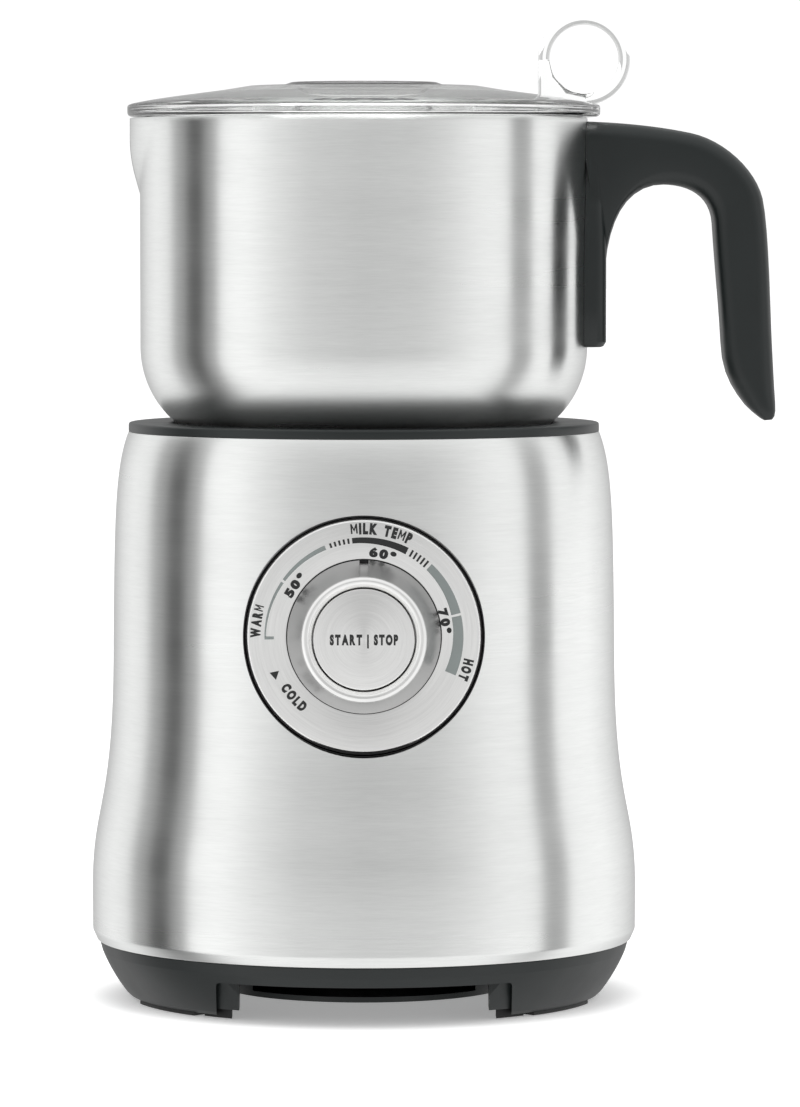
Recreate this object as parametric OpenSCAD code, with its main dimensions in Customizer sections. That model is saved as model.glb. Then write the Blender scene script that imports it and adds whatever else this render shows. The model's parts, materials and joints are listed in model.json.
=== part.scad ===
// Induction milk frother: a powered base, a steel jug with a handle and a clear lid,
// a magnetic whisk disc inside the jug and a spare disc stored under the base.
// Frame: origin on the jug's axis, on the surface the frother stands on.
// +Z is up, the dial faces -Y, the handle points to +X and the spout to -X.

/* [Base housing] */
// Radius of the steel housing at its waist
waist_r = 75; // [74.6:0.1:75.4]
// Radius of the steel housing at its top edge
shell_top_r = 70.35; // [70.2:0.05:70.5]
// Radius of the steel housing where it spreads to its foot
shell_foot_r = 81.45; // [81:0.05:81.9]
// Height of the housing's top edge
shell_top_z = 169.4; // [169.2:0.1:169.4]
// Height of the housing's bottom edge
shell_bottom_z = 17.6; // [17.6:0.1:18]
// Thickness of the housing's sheet steel
shell_wall = 1; // [0.8:0.1:1.2]
// Half width of the arch in the front of the base skirt
arch_half_w = 43; // [42:0.2:44]
// Height of the top of that arch
arch_top_z = 11.5; // [10.5:0.1:11.8]

/* [Storage tray] */
// Outer radius of the tray that holds the spare disc
tray_r = 43; // [42:0.5:44]
// Half width of the tray's mouth
tray_mouth_half_w = 33; // [31:0.5:35]

/* [Dial] */
// Height of the dial's centre
dial_z = 112.8; // [112:0.1:113]
// Distance of the dial plate's face in front of the jug's axis
plate_y = 73.5; // [73.2:0.1:73.8]
// Radius of the dial plate
plate_r = 34.2; // [34:0.1:34.4]
// Radius of the knob where it meets the plate
knob_base_r = 22.1; // [21.8:0.1:22.5]
// Radius of the knob's front edge
knob_front_r = 17.6; // [17.4:0.1:18]
// How far the knob stands out from the plate
knob_depth = 13.5; // [13:0.1:14.5]
// Radius of the start button in the middle of the knob
button_r = 14.6; // [14.4:0.1:14.8]

/* [Jug] */
// Outer radius of the jug's straight wall
jug_r = 66.75; // [66.5:0.05:66.75]
// Thickness of the jug's steel
jug_wall = 1; // [0.8:0.1:1.2]
// Radius of the jug's rounded lower corner
jug_corner_r = 29.4; // [29:0.1:29.8]
// Height at which the jug's straight wall begins
jug_corner_z = 194.5; // [194.2:0.1:194.8]
// Height of the jug's rim
jug_rim_z = 262.8; // [262:0.1:262.8]
// Distance of the spout's lip from the jug's axis
spout_r = 69.6; // [68.5:0.1:70]

/* [Lid] */
// Outer radius of the lid's rim
lid_r = 70.5; // [70.2:0.1:71]
// Distance of the finger ring's centre from the jug's axis
ring_x = 65.7; // [65:0.1:66]
// Height of the finger ring's centre
ring_z = 280.2; // [280:0.1:281]
// Outer radius of the finger ring
ring_r = 13.7; // [13.5:0.1:14]
// Radius of the finger ring's hole
ring_hole_r = 10.3; // [10:0.1:10.6]
// Thickness of the finger ring
ring_w = 5.5; // [5:0.1:6]

/* [Handle] */
// Width of the handle's grip
grip_w = 22; // [20:0.5:24]
// Width of the handle's mount on the jug
mount_w = 28; // [26:0.5:30]

/* [Discs] */
// Radius of the frothing discs
disc_r = 26.4; // [25:0.1:27]
// Height of a disc's hub
disc_hub_h = 6.2; // [5.8:0.1:6.4]

/* [Smoothness] */
// Steps in each curved stretch of an outline
curve_steps = 10; // [8:1:16]
// Facets of round parts
round_facets = 96; // [64:8:160]

/* [Hidden] */

$fn = round_facets;
// Overshoot of a cutting tool past the face it opens
past = 1;
// Working gap round a screw in its hole
screw_gap = 0.05;

// Heights of the layers inside the base, from the floor up
foot_h = 1;
cover_z = 12;
cover_t = 2;
sill_z = 17.5;
sill_t = 2.5;
cheek_z = 2.9;
cheek_half_w = 36.3;
board_z = 34;
board_t = 1.6;
motor_z = 84;
motor_h = 50;
bracket_z = motor_z + motor_h;
bracket_t = 3;
deck_z = bracket_z + bracket_t;
deck_t = 3.5;
deck_top_z = deck_z + deck_t;
carrier_z = 146;
former_z = 152;
former_t = 2;
plate_bottom_z = 163.4;
plate_top_z = 166;

// Motor and drive
motor_r = 22;
shaft_r = 1.6;
bearing_bore_r = 1.63;
bearing_r = 4;
magnet_pitch_r = 10.5;
magnet_r = 4.5;

// Places round the axis
post_angles = [90, 210, 330];
post_pitch_r = 63.5;
post_r = 4;
cover_screw_pitch_r = 66;
cover_screw_angles = [45, 135, 225, 315];
bracket_screw_pitch_r = 26;
screw_r = 1.5;
sensor_y = -26;
sensor_stem_r = 2;
fan_y = 34;
fan_size = 40;
fan_h = 10;
gland_z = 6.8;
gland_r = 4.9;
cord_r = 3.6;

// Dial stack, measured outwards from the face of the dial plate
plate_t = 1.2;
housing_back = -24;
housing_floor = -22;
knob_gap = 0.4;
knob_floor = 2.6;
sleeve_in_r = 8.2;
sleeve_r = 9.6;
button_face = 12;
button_under = 9.4;
stem_r = 3.2;
guide_front = 2;

// Jug and lid
jug_floor_z = 167.2;
jug_in_r = jug_r - jug_wall;
corner_centre_r = jug_r - jug_corner_r;
base_disc_r = 46;
lid_bottom_z = 263.1;
cap_hole_r = 21.6;
cap_seat_z = 272.3;

// Whisk discs
pin_r = 2;
bush_r = 4;
hub_r = 7.5;
froth_z = 170.2;
spare_z = 4.8;

// ---------------------------------------------------------------- shared shapes

// Points along a cubic curve from p to s, steered by q and r
function curve(p, q, r, s, n = curve_steps) = [
    for (i = [0:n])
        let (t = i / n, u = 1 - t)
            u * u * u * p + 3 * u * u * t * q + 3 * u * t * t * r + t * t * t * s
];

// Points along an arc about a centre, from angle a to angle b
function arc(centre, radius, a, b, n = curve_steps) = [
    for (i = [0:n])
        let (t = a + (b - a) * i / n)
            centre + radius * [cos(t), sin(t)]
];

function reversed(list) = [for (i = [len(list) - 1:-1:0]) list[i]];

// The list without its first point, for joining curves end to end
function rest(list) = [for (i = [1:len(list) - 1]) list[i]];

module ring(outer, inner, height) {
    difference() {
        cylinder(r = outer, h = height);
        translate([0, 0, -past]) cylinder(r = inner, h = height + 2 * past);
    }
}

module box(x, y, z, height) {
    translate([-x / 2, -y / 2, z]) cube([x, y, height]);
}

// Children at one radius, once for each angle
module around(angles, radius) {
    for (a = angles) rotate([0, 0, a]) translate([radius, 0, 0]) children();
}

// Children in the dial's own frame: +Z outwards, +Y up, origin on the plate's face
module at_dial() {
    translate([0, -plate_y, dial_z]) rotate([90, 0, 0]) children();
}

// Screw with a pan head below its shank; z is the face the head bears on
module screw(z, shank, head_r = 2.8, head_h = 2.2) {
    translate([0, 0, z - head_h]) cylinder(r = head_r, h = head_h, $fn = 32);
    translate([0, 0, z]) cylinder(r = screw_r, h = shank, $fn = 32);
}

// Coil spring standing on z = 0
module coil_spring(mean_r, wire_r, height, turns) {
    sides = 8;
    steps = 20;
    n = turns * steps;
    points = [
        for (i = [0:n], j = [0:sides - 1])
            let (turn = 360 * i / steps, b = 360 * j / sides, r = mean_r + wire_r * cos(b))
                [
                    r * cos(turn),
                    r * sin(turn),
                    wire_r + (height - 2 * wire_r) * i / n + wire_r * sin(b)
                ]
    ];
    walls = [
        for (i = [0:n - 1], j = [0:sides - 1])
            let (k = (j + 1) % sides)
                [i * sides + j, i * sides + k, (i + 1) * sides + k, (i + 1) * sides + j]
    ];
    first = [for (j = [sides - 1:-1:0]) j];
    last = [for (j = [0:sides - 1]) n * sides + j];
    polyhedron(points = points, faces = concat([first], walls, [last]));
}

// ---------------------------------------------------------------- base housing

// Side of the housing from its top edge down to its foot, moved inwards by inset
function shell_side(inset) = concat(
    curve(
        [shell_top_r - inset, shell_top_z], [waist_r - 0.6 - inset, 159.2],
        [waist_r - 0.4 - inset, 144.1], [waist_r - inset, 107]
    ),
    rest(curve(
        [waist_r - inset, 107], [waist_r - inset, 55.6],
        [shell_foot_r - inset, 59.2], [shell_foot_r - inset, 33]
    ))
);

module housing_shell() {
    foot = [[shell_foot_r - 0.2, 20], [shell_foot_r - 1.4, shell_bottom_z]];
    foot_inside = [[shell_foot_r - 2.2, shell_bottom_z], [shell_foot_r - 0.2 - shell_wall, 20]];
    color("silver")
    difference() {
        rotate_extrude($fn = 180)
            polygon(concat(shell_side(0), foot, foot_inside, reversed(shell_side(shell_wall))));
        at_dial() translate([0, 0, -30]) cylinder(r = plate_r + 0.75, h = 60);
    }
}

module top_collar() {
    nest_r = 57.7;
    ledge_r = 54;
    rim_r = shell_top_r - 0.05;
    skirt_r = 68.9;
    color("black")
    rotate_extrude()
        polygon([
            [nest_r, plate_bottom_z], [nest_r, 171.5], [nest_r + 0.6, 172.1],
            [rim_r - 0.6, 172.1], [rim_r, 171.5], [rim_r, shell_top_z],
            [skirt_r, shell_top_z], [skirt_r, 161.4], [ledge_r, 161.4],
            [ledge_r, plate_bottom_z]
        ]);
}

module heating_plate() {
    color([0.08, 0.08, 0.09])
    difference() {
        translate([0, 0, plate_bottom_z]) cylinder(r = 57.5, h = plate_top_z - plate_bottom_z);
        translate([0, sensor_y, plate_bottom_z - past]) cylinder(r = 6.2, h = 5);
    }
}

module base_skirt() {
    outside = curve([79.4, sill_z], [77.4, 12.3], [74.6, 6.2], [70.9, foot_h]);
    inside = [[68.6, foot_h], [72.2, 6], [75, 11.8], [75, sill_z]];
    into_wall = 1;
    color([0.2, 0.21, 0.21])
    difference() {
        union() {
            difference() {
                rotate_extrude($fn = 180) polygon(concat(outside, inside));
                front_arch();
            }
            // Cheeks that stand behind the skirt's wall at each side of the arch
            intersection() {
                rotate_extrude($fn = 180)
                    polygon([
                        [0, cheek_z], [70 + into_wall, cheek_z], [72.2 + into_wall, 6],
                        [75 + into_wall, cover_z], [0, cover_z]
                    ]);
                arch_sides(cheek_half_w, 0, 20);
            }
        }
        translate([0, 60, gland_z]) rotate([-90, 0, 0]) cylinder(r = gland_r + 0.1, h = 30);
    }
}

// The cut that makes the front arch, with small round corners at its top
module front_arch() {
    corner = 1;
    depth = 72;
    translate([0, -84, 0]) {
        box(2 * arch_half_w, depth, -past, arch_top_z - corner + past);
        box(2 * (arch_half_w - corner), depth, 0, arch_top_z);
        for (side = [-1, 1])
            translate([side * (arch_half_w - corner), depth / 2, arch_top_z - corner])
                rotate([90, 0, 0]) cylinder(r = corner, h = depth, $fn = 32);
    }
}

// Two blocks just behind the arch, one on each side, from half width x out to the skirt
module arch_sides(x, z, height) {
    reach = 47;
    for (side = [-1, 1])
        translate([side * (x + reach) / 2, -57, 0]) box(reach - x, 14, z, height);
}

module bottom_cover() {
    standoffs = [[-38, -36], [38, -36], [-38, 8], [38, 8]];
    color([0.13, 0.14, 0.14])
    difference() {
        union() {
            translate([0, 0, cover_z]) cylinder(r = 74.8, h = cover_t);
            for (p = standoffs)
                translate([p[0], p[1], cover_z + cover_t])
                    cylinder(r = 2.5, h = board_z - cover_z - cover_t, $fn = 32);
        }
        around(cover_screw_angles, cover_screw_pitch_r)
            translate([0, 0, cover_z - past]) cylinder(r = screw_r + screw_gap, h = 4, $fn = 32);
        // Air inlet slots under the fan
        for (x = [-24:6:24]) translate([x, 54, 0]) box(3, 16, cover_z - past, 4);
    }
}

module storage_tray() {
    lip_z = 2.9;
    floor_t = 1.6;
    color([0.11, 0.12, 0.12])
    difference() {
        translate([0, 0, lip_z]) cylinder(r = tray_r, h = cover_z - lip_z);
        translate([0, 0, lip_z + floor_t]) cylinder(r = tray_r - 3, h = 10);
        translate([0, 0, lip_z - past]) cylinder(r = 16, h = 10);
        // The mouth that a disc slides through
        translate([0, -tray_r, 0]) box(2 * tray_mouth_half_w, 60, lip_z + floor_t, 10);
    }
}

module foot_pads() {
    // Four rubber pads under the skirt, each an arc; the front pair clear the arch
    pad_angles = [46, 134, 212, 328];
    arc_half = 13;
    color([0.05, 0.05, 0.05])
    {
        // Blocks under the cheeks at the arch's sides
        intersection() {
            cylinder(r = 68.4, h = cheek_z);
            arch_sides(cheek_half_w + 2.2, 0, cheek_z);
        }
        for (a = pad_angles) rotate([0, 0, a]) intersection() {
            ring(70.3, 65.5, foot_h);
            linear_extrude(height = foot_h)
                polygon([[0, 0], 100 * [cos(arc_half), -sin(arc_half)], 100 * [cos(arc_half), sin(arc_half)]]);
        }
    }
}

module cover_screws() {
    color("dimgray")
    around(cover_screw_angles, cover_screw_pitch_r) screw(cover_z, 7);
}

module cord_gland() {
    color([0.09, 0.09, 0.09])
    translate([0, 66, gland_z]) rotate([-90, 0, 0]) ring(gland_r, cord_r, 12.5);
}

// ---------------------------------------------------------------- inside the base

module inner_chassis() {
    color([0.86, 0.86, 0.84])
    difference() {
        union() {
            // Sill ring that the shell, skirt and cover are fixed to
            translate([0, 0, sill_z]) ring(78.6, 58, sill_t);
            around(cover_screw_angles, cover_screw_pitch_r)
                translate([0, 0, cover_z + cover_t]) cylinder(r = 4, h = sill_z - cover_z - cover_t);
            around(post_angles, post_pitch_r)
                translate([0, 0, sill_z + sill_t]) cylinder(r = post_r, h = deck_z - sill_z - sill_t);
            // Deck that carries the motor below and the coil above
            translate([0, 0, deck_z]) ring(68, 20, deck_t);
        }
        around(cover_screw_angles, cover_screw_pitch_r)
            translate([0, 0, cover_z]) cylinder(r = screw_r + screw_gap, h = 10, $fn = 32);
        around(cover_screw_angles, bracket_screw_pitch_r)
            translate([0, 0, deck_z - past]) cylinder(r = screw_r + screw_gap, h = 10, $fn = 32);
        // Room for the dial's drum and its board at the front
        translate([0, -76, 0]) box(52, 60, deck_z - past, deck_t + 2 * past);
    }
}

module coil_former() {
    color([0.93, 0.92, 0.88]) {
        translate([0, 0, former_z]) ring(56, 33, former_t);
        around(post_angles, 52.5)
            translate([0, 0, deck_top_z]) cylinder(r = 3, h = former_z - deck_top_z, $fn = 32);
    }
}

module induction_coil() {
    turns = 7;
    pitch = 2.8;
    wire_r = 1.2;
    color([0.75, 0.42, 0.2])
    for (i = [0:turns - 1])
        rotate_extrude()
            translate([35.5 + i * pitch, former_z + former_t + wire_r + 0.05]) circle(r = wire_r, $fn = 24);
}

module ferrite_bars() {
    color([0.22, 0.22, 0.24])
    around([0:60:300], 44.5) box(21, 8, former_z - 4, 4);
}

module motor_can() {
    wall = 1;
    color([0.7, 0.71, 0.72])
    translate([0, 0, motor_z])
    difference() {
        cylinder(r = motor_r, h = motor_h);
        translate([0, 0, 1.5]) cylinder(r = motor_r - wall, h = motor_h);
        translate([0, 0, -past]) cylinder(r = bearing_r, h = 5);
    }
}

module stator_magnets() {
    color([0.3, 0.3, 0.32])
    difference() {
        translate([0, 0, motor_z + 8]) ring(20.9, 17.5, 36);
        box(16, 60, motor_z, motor_h);
    }
}

module motor_bearings() {
    color([0.72, 0.55, 0.3])
    for (z = [motor_z, bracket_z - 1])
        translate([0, 0, z]) ring(bearing_r, bearing_bore_r, 4);
}

module motor_bracket() {
    color([0.62, 0.63, 0.65])
    translate([0, 0, bracket_z])
    difference() {
        cylinder(r = 31, h = bracket_t);
        translate([0, 0, -past]) cylinder(r = bearing_r, h = bracket_t + 2 * past);
        around(cover_screw_angles, bracket_screw_pitch_r)
            translate([0, 0, -past]) cylinder(r = screw_r + screw_gap, h = 10, $fn = 32);
    }
}

module bracket_screws() {
    color("dimgray")
    around(cover_screw_angles, bracket_screw_pitch_r) screw(bracket_z, 6);
}

module power_board() {
    color([0.1, 0.36, 0.2])
    translate([0, -15, 0])
    difference() {
        box(94, 62, board_z, board_t);
        // Cut corners clear of the posts of the chassis
        for (side = [-1, 1]) translate([side * 47, -22, 0]) box(14, 20, board_z - past, 4);
    }
}

module heat_sink() {
    fins = 7;
    color([0.78, 0.79, 0.8])
    translate([-24, -2, 0]) {
        box(36, 22, board_z + board_t, 3);
        for (i = [0:fins - 1])
            translate([-15 + i * 5, 0, 0]) box(1.5, 22, board_z + board_t + 3, 14);
    }
}

module capacitors() {
    color([0.12, 0.16, 0.34])
    for (x = [14, 32])
        translate([x, -29, board_z + board_t]) cylinder(r = 8, h = 26);
}

module transformer() {
    color([0.85, 0.7, 0.25])
    translate([22, 0, 0]) {
        box(26, 20, board_z + board_t, 4);
        box(16, 14, board_z + board_t + 4, 12);
        box(26, 20, board_z + board_t + 16, 4);
    }
}

module fan_frame() {
    color([0.1, 0.1, 0.11])
    translate([0, fan_y, cover_z + cover_t]) {
        difference() {
            box(fan_size, fan_size, 0, fan_h);
            translate([0, 0, -past]) cylinder(r = 18.6, h = fan_h + 2 * past);
        }
        // Spider with the pin that the impeller turns on
        cylinder(r = 8, h = 1);
        cylinder(r = 1, h = 8, $fn = 32);
        for (a = [0:90:270]) rotate([0, 0, a]) translate([13.4, 0, 0]) box(11.2, 3, 0, 1);
    }
}

module fan_impeller() {
    blades = 7;
    hub = 8;
    tip = 18;
    color([0.16, 0.16, 0.17])
    translate([0, fan_y, cover_z + cover_t + 1.4])
    difference() {
        union() {
            cylinder(r = hub, h = 7.6);
            for (i = [0:blades - 1])
                rotate([0, 0, i * 360 / blades])
                    translate([(hub + tip) / 2 - 0.5, 0, 3.8])
                        rotate([40, 0, 0]) cube([tip - hub, 8, 1], center = true);
        }
        translate([0, 0, -past]) cylinder(r = 1.06, h = 7.8, $fn = 32);
    }
}

// ---------------------------------------------------------------- motor and drive

module motor_shaft() {
    color([0.8, 0.8, 0.82])
    translate([0, 0, motor_z + 0.5]) cylinder(r = shaft_r, h = 64.5);
}

module motor_armature() {
    slots = 8;
    color([0.55, 0.3, 0.18])
    translate([0, 0, motor_z + 10])
    difference() {
        union() {
            cylinder(r = 16.5, h = 32);
            translate([0, 0, 32]) cylinder(r = 6, h = 5);
        }
        translate([0, 0, -past]) cylinder(r = shaft_r, h = 50);
        around([0:360 / slots:359], 15.5) box(5, 2, -past, 34);
    }
}

module magnet_carrier() {
    rim_r = 17.5;
    color([0.88, 0.88, 0.86])
    translate([0, 0, carrier_z])
    difference() {
        union() {
            translate([0, 0, -5]) cylinder(r = 5, h = 5);
            cylinder(r = rim_r, h = 11);
        }
        translate([0, 0, 4]) cylinder(r = rim_r - 1.5, h = 11);
        translate([0, 0, -5 - past]) cylinder(r = shaft_r, h = 9);
    }
}

module drive_magnets() {
    color([0.74, 0.75, 0.78])
    around([0:90:270], magnet_pitch_r)
        translate([0, 0, carrier_z + 4]) cylinder(r = magnet_r, h = 7);
}

// ---------------------------------------------------------------- jug sensor

module sensor_guide() {
    color([0.86, 0.86, 0.84])
    translate([0, sensor_y, deck_top_z]) ring(4.8, sensor_stem_r + 0.08, 16);
}

module sensor_cap() {
    color([0.8, 0.8, 0.8])
    translate([0, sensor_y, 0]) {
        translate([0, 0, 143]) cylinder(r = sensor_stem_r, h = 17.8);
        translate([0, 0, 160.8]) cylinder(r = 7.2, h = 1.8);
        translate([0, 0, 162.6]) cylinder(r = 5.8, h = plate_top_z - 0.1 - 162.6);
    }
}

module sensor_spring() {
    color([0.7, 0.7, 0.72])
    translate([0, sensor_y, deck_top_z + 16]) coil_spring(3.4, 0.35, 160.8 - deck_top_z - 16, 3);
}

// ---------------------------------------------------------------- dial

module dial_bezel() {
    inner = plate_r + 0.15;
    outer = plate_r + 0.65;
    color([0.04, 0.04, 0.045])
    at_dial() rotate_extrude()
        polygon([
            [inner, -14], [inner, 0.4], [inner + 0.15, 0.6], [outer - 0.15, 0.6],
            [outer, 0.4], [outer, -14]
        ]);
}

module dial_plate() {
    color([0.78, 0.78, 0.77])
    at_dial() translate([0, 0, -plate_t]) ring(plate_r, sleeve_r + 0.5, plate_t);
}

module dial_housing() {
    drum_r = 32.5;
    color([0.86, 0.86, 0.84])
    at_dial() {
        difference() {
            translate([0, 0, housing_back]) cylinder(r = drum_r, h = -plate_t - housing_back);
            translate([0, 0, housing_floor]) cylinder(r = drum_r - 2, h = 40);
            translate([0, 0, housing_back - past]) cylinder(r = 4.6, h = 5);
        }
        // Tube that guides the button's stem inside the turning sleeve
        translate([0, 0, housing_floor])
        difference() {
            cylinder(r = 7.6, h = guide_front - housing_floor);
            translate([0, 0, -past]) cylinder(r = stem_r + 0.1, h = 40);
            translate([0, 0, -past]) cylinder(r = 4.6, h = 4);
        }
    }
}

module rotary_sensor() {
    color([0.16, 0.2, 0.3])
    at_dial() translate([0, 0, housing_floor]) ring(16, sleeve_r + 0.4, 6.5);
}

module control_board() {
    color([0.1, 0.36, 0.2])
    at_dial() box(48, 48, housing_back - 2.6, board_t);
}

module tact_switch() {
    color([0.15, 0.15, 0.16])
    at_dial() {
        box(6, 6, housing_back - 1, 3.4);
        translate([0, 0, housing_back + 2.4]) cylinder(r = 1.6, h = 2, $fn = 32);
    }
}

module dial_knob() {
    lip = 0.4;
    color([0.72, 0.72, 0.71])
    at_dial()
    difference() {
        rotate_extrude()
            polygon([
                [sleeve_r, knob_gap], [knob_base_r, knob_gap], [knob_base_r, 1.4],
                [knob_front_r + lip, knob_depth - lip], [knob_front_r, knob_depth],
                [knob_front_r - 0.3, knob_depth], [button_r + 0.4, knob_depth - 1.2],
                [button_r + 0.4, knob_floor], [sleeve_r, knob_floor]
            ]);
        // Pointer notch at the top of the knob
        translate([0, knob_front_r + 3.1, 0]) box(2.6, 6, knob_depth - 5.2, 8);
    }
}

module dial_sleeve() {
    color([0.2, 0.2, 0.21])
    at_dial() translate([0, 0, -21.4]) ring(sleeve_r, sleeve_in_r, 21.4 + knob_floor);
}

module start_button() {
    skirt_in_r = button_r - 1.6;
    color([0.8, 0.8, 0.79])
    at_dial() rotate_extrude()
        polygon([
            [0, -18], [stem_r, -18], [stem_r, button_under], [skirt_in_r, button_under],
            [skirt_in_r, 5], [button_r, 5], [button_r, button_face - 0.3],
            [button_r - 0.3, button_face], [0, button_face]
        ]);
}

module button_spring() {
    color([0.7, 0.7, 0.72])
    at_dial() translate([0, 0, guide_front]) coil_spring(4.6, 0.4, button_under - guide_front, 4);
}

// ---------------------------------------------------------------- jug

// Side of the jug from its floor up to its rim, moved inwards by inset
function jug_side(inset) =
    let (radius = jug_corner_r - inset, start = asin((jug_floor_z + inset - jug_corner_z) / radius))
        concat(arc([corner_centre_r, jug_corner_z], radius, start, 0), [[jug_r - inset, jug_rim_z]]);

module jug_body(inset, top_z) {
    rotate_extrude($fn = 180)
        polygon(concat(
            [[0, jug_floor_z + inset]], jug_side(inset), [[jug_r - inset, top_z], [0, top_z]]
        ));
}

// Pouring lip at -X: a leaning round channel that leaves the wall below the rim
module spout(inset, top_z) {
    lean = 7;
    channel_r = 28;
    intersection() {
        translate([channel_r - spout_r, 0, jug_rim_z])
            rotate([0, -lean, 0]) translate([0, 0, -40]) cylinder(r = channel_r - inset, h = 60);
        translate([-40, 0, 0]) box(80, 80, 230, top_z - 230);
    }
}

module jug_vessel() {
    color([0.82, 0.82, 0.81])
    difference() {
        union() {
            jug_body(0, jug_rim_z);
            spout(0, jug_rim_z);
        }
        jug_body(jug_wall, jug_rim_z + past);
        spout(jug_wall, jug_rim_z + past);
    }
}

module jug_base_disc() {
    color([0.6, 0.6, 0.61])
    translate([0, 0, plate_top_z]) cylinder(r = base_disc_r, h = jug_floor_z - plate_top_z);
}

module whisk_spindle() {
    color([0.78, 0.78, 0.8])
    translate([0, 0, jug_floor_z + jug_wall]) {
        cylinder(r = 5, h = 1.4);
        cylinder(r = pin_r, h = 14);
        translate([0, 0, 14]) sphere(r = pin_r, $fn = 32);
    }
}

// Outline of the handle in the XZ plane, from the jug's rim out, down and back
function handle_outline() =
    let (
        shoulder = [97.3, 258.2], elbow = [118.7, 238.7], back = [121.4, 200],
        heel = [122.7, 177], tip = [119.5, 172.8], palm = [107.2, 188.5],
        crook = [104.2, 231.4], arch = [89.6, 242.9], root = [72.2, 227.6]
    )
    concat(
        [[60, 261.6]],
        curve([66.3, 261.6], [76.5, 261.3], [88, 260.2], shoulder),
        rest(curve(shoulder, [107, 256.2], [116.6, 247.5], elbow)),
        rest(curve(elbow, [120.2, 232], [120.8, 216], back)),
        [heel],
        rest(curve(heel, [122.7, 173.8], [121.4, 171.8], tip)),
        rest(curve(tip, [113.2, 175.3], [107.6, 180.5], palm)),
        rest(curve(palm, [106.8, 202], [104.9, 220], crook)),
        rest(curve(crook, [103.6, 239.5], [97.5, 242.8], arch)),
        rest(curve(arch, [80.5, 243], [73, 237.5], root)),
        [[71.6, 197.5]],
        rest(curve([71.6, 197.5], [71.5, 195.4], [70, 194.7], [67.1, 194.6])),
        [[60, 194.6]]
    );

module upright_slice(width) {
    translate([0, width / 2, 0]) rotate([90, 0, 0]) linear_extrude(height = width) children();
}

screw_heights = [204, 222];

module handle_screw_holes() {
    for (z = screw_heights)
        translate([60, 0, z]) rotate([0, 90, 0]) {
            cylinder(r = 1.95, h = 14, $fn = 32);
            translate([0, 0, 10.1]) cylinder(r = 3.5, h = 10, $fn = 32);
        }
}

module handle_grip() {
    color([0.23, 0.25, 0.25])
    difference() {
        union() {
            upright_slice(grip_w) polygon(handle_outline());
            upright_slice(mount_w)
                intersection() {
                    polygon(handle_outline());
                    translate([60, 190]) square([13, 80]);
                }
        }
        translate([0, 0, 190]) cylinder(r = jug_r + 0.05, h = 80, $fn = 180);
        intersection() {
            translate([0, 0, 197.9]) cylinder(r = jug_r + 1.6, h = 58.2, $fn = 180);
            translate([70, 0, 0]) box(30, 16.1, 190, 80);
        }
        handle_screw_holes();
    }
}

module handle_bracket() {
    color([0.7, 0.7, 0.72])
    difference() {
        intersection() {
            translate([0, 0, 198]) ring(jug_r + 1.55, jug_r + 0.05, 58);
            translate([70, 0, 0]) box(30, 16, 190, 80);
        }
        for (z = screw_heights)
            translate([60, 0, z]) rotate([0, 90, 0]) cylinder(r = 1.95, h = 14, $fn = 32);
    }
}

module handle_screws() {
    color("dimgray")
    for (z = screw_heights)
        translate([66.95, 0, z]) rotate([0, 90, 0]) {
            cylinder(r = 1.9, h = 3.15, $fn = 32);
            translate([0, 0, 3.15]) cylinder(r = 3.4, h = 1.7, $fn = 32);
        }
}

// ---------------------------------------------------------------- whisk discs

// Plastic disc with a hub for magnets, three swept arms and a rim; stands on z = 0
module whisk_disc(bore) {
    core_r = 16.4;
    rim_z = 0.8;
    rim_h = 4;
    difference() {
        union() {
            cylinder(r = core_r, h = 4.6);
            cylinder(r = hub_r, h = disc_hub_h);
            around([0:60:300], 20) box(12, 3, rim_z, 3.4);
            translate([0, 0, rim_z]) ring(disc_r, disc_r - 4, rim_h);
        }
        translate([0, 0, -past]) cylinder(r = bore, h = 20);
        around([0:90:270], magnet_pitch_r + 1) translate([0, 0, -past]) cylinder(r = 3.4, h = 4.2);
    }
}

module disc_magnet_set() {
    around([0:90:270], magnet_pitch_r + 1) translate([0, 0, 0.2]) cylinder(r = 3.4, h = 3);
}

module disc_bush() {
    color([0.9, 0.9, 0.88])
    translate([0, 0, froth_z - 0.3]) ring(bush_r, pin_r + 0.06, disc_hub_h + 0.3);
}

module froth_disc() {
    color([0.2, 0.2, 0.21]) translate([0, 0, froth_z]) whisk_disc(bush_r + 0.06);
}

module whisk_ring() {
    wire_r = 1.6;
    color([0.78, 0.78, 0.8])
    translate([0, 0, froth_z + 2.8])
        rotate_extrude() translate([disc_r + wire_r + 0.02, 0]) circle(r = wire_r, $fn = 24);
}

module disc_magnets() {
    color([0.72, 0.73, 0.75]) translate([0, 0, froth_z]) disc_magnet_set();
}

module spare_disc() {
    color([0.24, 0.24, 0.25]) translate([0, 0, spare_z]) whisk_disc(bush_r + 0.06);
}

module spare_magnets() {
    color([0.72, 0.73, 0.75]) translate([0, 0, spare_z]) disc_magnet_set();
}

// ---------------------------------------------------------------- lid

// Upper side of the lid from its rim to the flat seat of the measuring cap
function lid_top() = concat(
    [[lid_r - 0.5, lid_bottom_z], [lid_r, lid_bottom_z + 0.5], [lid_r, 265.6], [lid_r - 0.7, 266.5]],
    rest(curve([lid_r - 0.7, 266.5], [62, 268.4], [50, 269.8], [43, 270.8], 6)),
    [[34, cap_seat_z]]
);

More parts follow.
